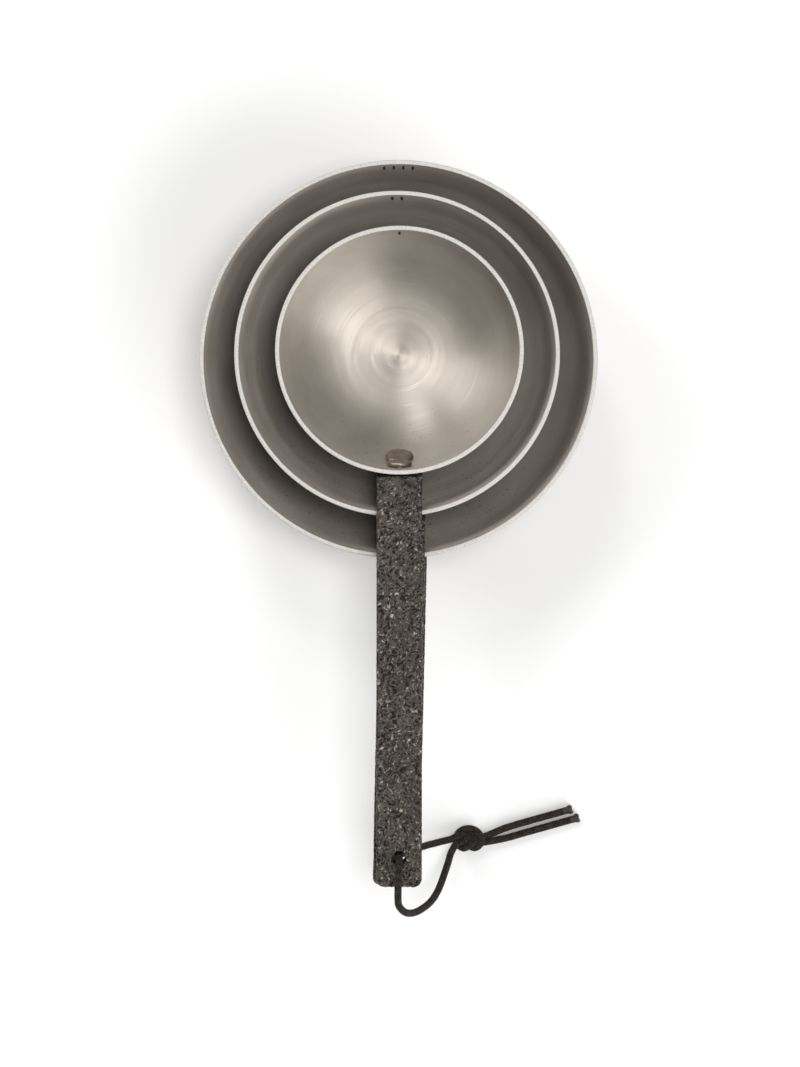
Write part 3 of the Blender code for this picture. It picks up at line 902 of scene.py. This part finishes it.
# %% Even out a route
def smooth(points, step):
    """Even points along a Catmull-Rom curve through the given ones."""
    route = [Vector(p) for p in points]
    route = [2 * route[0] - route[1]] + route + [2 * route[-1] - route[-2]]
    fine = []
    for a, b, c, d in zip(route, route[1:], route[2:], route[3:]):
        for i in range(30):
            t = i / 30
            fine.append(0.5 * (2 * b + (c - a) * t + (2 * a - 5 * b + 4 * c - d) * t ** 2
                               + (3 * b - a - 3 * c + d) * t ** 3))
    fine.append(route[-2])
    table = np.array([tuple(p) for p in fine])
    walked = np.concatenate([[0], np.cumsum(np.linalg.norm(np.diff(table, axis=0), axis=1))])
    even = np.linspace(0, walked[-1], round(walked[-1] / step) + 1)
    return [Vector([float(np.interp(s, walked, table[:, k])) for k in range(3)]) for s in even]


def knot_strand(side):
    """One of the two strands side by side through the knot; side 1 is the left one."""
    line = smooth(KNOT_LINE, 0.9)
    made = []
    for before, point, after in zip([line[0]] + line, line, line[1:] + [line[-1]]):
        ahead = (after - before)
        left = Vector((-ahead.y, ahead.x, 0)).normalized()
        made.append(KNOT + point + left * PAIR_GAP * side)
    return made


ROUTE_STEP = 0.13
ROUTE_OVER = smooth(OVER_THE_END + [tuple(p) for p in knot_strand(-1)] + TAIL_OUTER, ROUTE_STEP)
ROUTE_UNDER = smooth(UNDER_THE_HANDLES + [tuple(p) for p in knot_strand(1)] + TAIL_INNER, ROUTE_STEP)


def length_of(route):
    return sum((b - a).length for a, b in zip(route, route[1:]))


print("cord halves", round(length_of(ROUTE_OVER), 1), round(length_of(ROUTE_UNDER), 1), "mm")

# %% [markdown]
# A braid is two sets of yarns that wind round a core in opposite directions and
# pass over and under each other. The tree copies the route once for each yarn,
# moves the copies out onto a helix whose radius rises and falls at each crossing,
# and gives them a round section.

# %% Braid tree
def make_braid():
    tree, start, end = nodes_tree("braid", [
        ("Yarns", "NodeSocketInt", 8), ("Lay", "NodeSocketFloat", 0.0044),
        ("Radius", "NodeSocketFloat", 0.00057), ("Rise", "NodeSocketFloat", 0.00005),
        ("Yarn Radius", "NodeSocketFloat", 0.00018),
        ("Material", "NodeSocketMaterial", None)])
    yarns, lay = start.outputs["Yarns"], start.outputs["Lay"]
    copies = tree.nodes.new("GeometryNodeDuplicateElements")
    copies.domain = "SPLINE"
    tree.links.new(start.outputs["Geometry"], copies.inputs["Geometry"])
    tree.links.new(math_node(tree, "MULTIPLY", yarns, 2.0), copies.inputs["Amount"])
    number = copies.outputs["Duplicate Index"]
    odd = math_node(tree, "MODULO", number, 2.0)
    hand = math_node(tree, "SUBTRACT", math_node(tree, "MULTIPLY", odd, 2.0), 1.0)
    share = math_node(tree, "DIVIDE", math_node(tree, "FLOOR", math_node(tree, "DIVIDE", number, 2.0)), yarns)
    walked = tree.nodes.new("GeometryNodeSplineParameter").outputs["Length"]
    turns = math_node(tree, "DIVIDE", walked, lay)
    wound = math_node(tree, "ADD", math_node(tree, "MULTIPLY", turns, hand), share)
    angle = math_node(tree, "MULTIPLY", wound, math.tau)
    crossings = math_node(tree, "MULTIPLY", turns, yarns)
    wave = math_node(tree, "COSINE", math_node(tree, "MULTIPLY", crossings, math.tau))
    rise = math_node(tree, "MULTIPLY", math_node(tree, "MULTIPLY", wave, hand), start.outputs["Rise"])
    radius = math_node(tree, "ADD", start.outputs["Radius"], rise)
    tangent = tree.nodes.new("GeometryNodeInputTangent").outputs[0]
    normal = tree.nodes.new("GeometryNodeInputNormal").outputs[0]
    side = vector_math(tree, "CROSS_PRODUCT", tangent, normal)
    along_normal = math_node(tree, "MULTIPLY", math_node(tree, "COSINE", angle), radius)
    along_side = math_node(tree, "MULTIPLY", math_node(tree, "SINE", angle), radius)
    out = vector_math(tree, "ADD", vector_math(tree, "SCALE", normal, along_normal),
                      vector_math(tree, "SCALE", side, along_side))
    push = tree.nodes.new("GeometryNodeSetPosition")
    tree.links.new(copies.outputs["Geometry"], push.inputs["Geometry"])
    tree.links.new(out, push.inputs["Offset"])
    # stores each yarn's rise and dip at the crossings, which the yarn colour uses for painted highlight and
    # painted shade
    rise_shading = tree.nodes.new("GeometryNodeStoreNamedAttribute")
    rise_shading.data_type = "FLOAT"
    rise_shading.domain = "POINT"
    rise_shading.inputs["Name"].default_value = "rise_shading"
    tree.links.new(push.outputs["Geometry"], rise_shading.inputs["Geometry"])
    tree.links.new(math_node(tree, "MULTIPLY", wave, hand), rise_shading.inputs["Value"])
    yarn = tree.nodes.new("GeometryNodeCurvePrimitiveCircle")
    yarn.inputs["Resolution"].default_value = 5
    tree.links.new(start.outputs["Yarn Radius"], yarn.inputs["Radius"])
    woven = tree.nodes.new("GeometryNodeCurveToMesh")
    tree.links.new(rise_shading.outputs["Geometry"], woven.inputs["Curve"])
    tree.links.new(yarn.outputs["Curve"], woven.inputs["Profile Curve"])
    woven.inputs["Fill Caps"].default_value = True
    core = tree.nodes.new("GeometryNodeCurvePrimitiveCircle")
    core.inputs["Resolution"].default_value = 10
    inside = math_node(tree, "SUBTRACT", start.outputs["Radius"], start.outputs["Yarn Radius"])
    tree.links.new(inside, core.inputs["Radius"])
    filled = tree.nodes.new("GeometryNodeCurveToMesh")
    tree.links.new(start.outputs["Geometry"], filled.inputs["Curve"])
    tree.links.new(core.outputs["Curve"], filled.inputs["Profile Curve"])
    filled.inputs["Fill Caps"].default_value = True
    both = tree.nodes.new("GeometryNodeJoinGeometry")
    tree.links.new(woven.outputs["Mesh"], both.inputs["Geometry"])
    tree.links.new(filled.outputs["Mesh"], both.inputs["Geometry"])
    paint_and_end(tree, both.outputs["Geometry"], start.outputs["Material"], end)
    return tree


# %% Yarn
def cord_yarn():
    """Black polyester yarn, painted a little brown where each yarn rises over a crossing and near black where
    it dips under: painted highlight and painted shade.
    """
    made, tree, shader = new_material("cord_yarn", 0.75, 0.0)
    coordinates = tree.nodes.new("ShaderNodeTexCoord").outputs["Object"]
    rise_shading = tree.nodes.new("ShaderNodeAttribute")
    rise_shading.attribute_name = "rise_shading"
    fibres = remap(tree, noise(tree, coordinates, 4000.0, 2.0), 0.3, 0.7, -0.25, 0.25)
    # painted highlight and shade: lighter where the yarn rises over a crossing, darker where it dips under
    tone = remap(tree, math_node(tree, "ADD", rise_shading.outputs["Fac"], fibres), -0.1, 0.9)
    base = blend_colour(tree, tone, (0.003, 0.0025, 0.002, 1), (0.055, 0.044, 0.034, 1))
    tree.links.new(base, shader.inputs["Base Color"])
    shader.inputs["Specular IOR Level"].default_value = 0.3
    shader.inputs["Sheen Weight"].default_value = 0.04
    return made


BRAID = make_braid()
CORD_YARN = cord_yarn()
print(BRAID.name, "has", len(BRAID.nodes), "nodes")


# %% Braid a route
def braided(name, route):
    curve = bpy.data.curves.new(name, "CURVE")
    curve.dimensions = "3D"
    spline = curve.splines.new("POLY")
    spline.points.add(len(route) - 1)
    for knot, point in zip(spline.points, route):
        knot.co = (*(point * MM), 1)
    made = grown(link(bpy.data.objects.new(name, curve)), BRAID, Material=CORD_YARN)
    made.name = name
    made.data.shade_smooth()
    return made


# %% Melted ends
def melted_end(name, route):
    """A short blob, wider than the cord, where its end was melted."""
    r = CORD / 2
    section = [(0, -0.5), (r * 0.97, -0.5), (r, 0.0), (r * 1.1, 0.45), (r * 1.3, 0.95), (r * 1.26, 1.25),
               (r * 0.95, 1.42), (r * 0.45, 1.36), (0, 1.3)]
    end = route[-1]
    ahead = (end - route[-12]).normalized()
    place = Matrix.Translation(end * MM) @ ahead.to_track_quat("Z", "Y").to_matrix().to_4x4()
    blob = turned(name, section, place, 28)
    for vert in blob.data.vertices:
        away = vert.co - end * MM
        swell = 1 + 0.10 * math.sin(7 * away.x / MM + 3) * math.cos(6 * away.y / MM + 5 * away.z / MM)
        vert.co = end * MM + away * swell
        vert.co.z = max(vert.co.z, 0.00002)
    return blob


def melted():
    made, tree, shader = new_material("melted_end", 0.45, 0.0)
    coordinates = tree.nodes.new("ShaderNodeTexCoord").outputs["Object"]
    tone = remap(tree, noise(tree, coordinates, 1800.0, 3.0), 0.35, 0.65)
    tree.links.new(blend_colour(tree, tone, (0.010, 0.008, 0.007, 1), (0.03, 0.025, 0.022, 1)),
                   shader.inputs["Base Color"])
    tree.links.new(bump(tree, noise(tree, coordinates, 2200.0, 3.0), 0.6, 0.0001), shader.inputs["Normal"])
    return made


MELTED = melted()

for name, route, solids, tip in (
    ("cord_half_over", ROUTE_OVER, ("cord_loop", "cord_tail_outer"), "cord_tip_outer"),
    ("cord_half_under", ROUTE_UNDER, ("cord_knot", "cord_tail_inner"), "cord_tip_inner"),
):
    half = braided(name, route)
    end = melted_end(f"{tip}_melted", route)
    finish(half, CORD_YARN, "large_scoop", "cord_fabric", *solids)
    finish(end, MELTED, "large_scoop", "cord_tip", tip)
    print(name, len(half.data.polygons), "faces, its melted end", len(end.data.polygons))
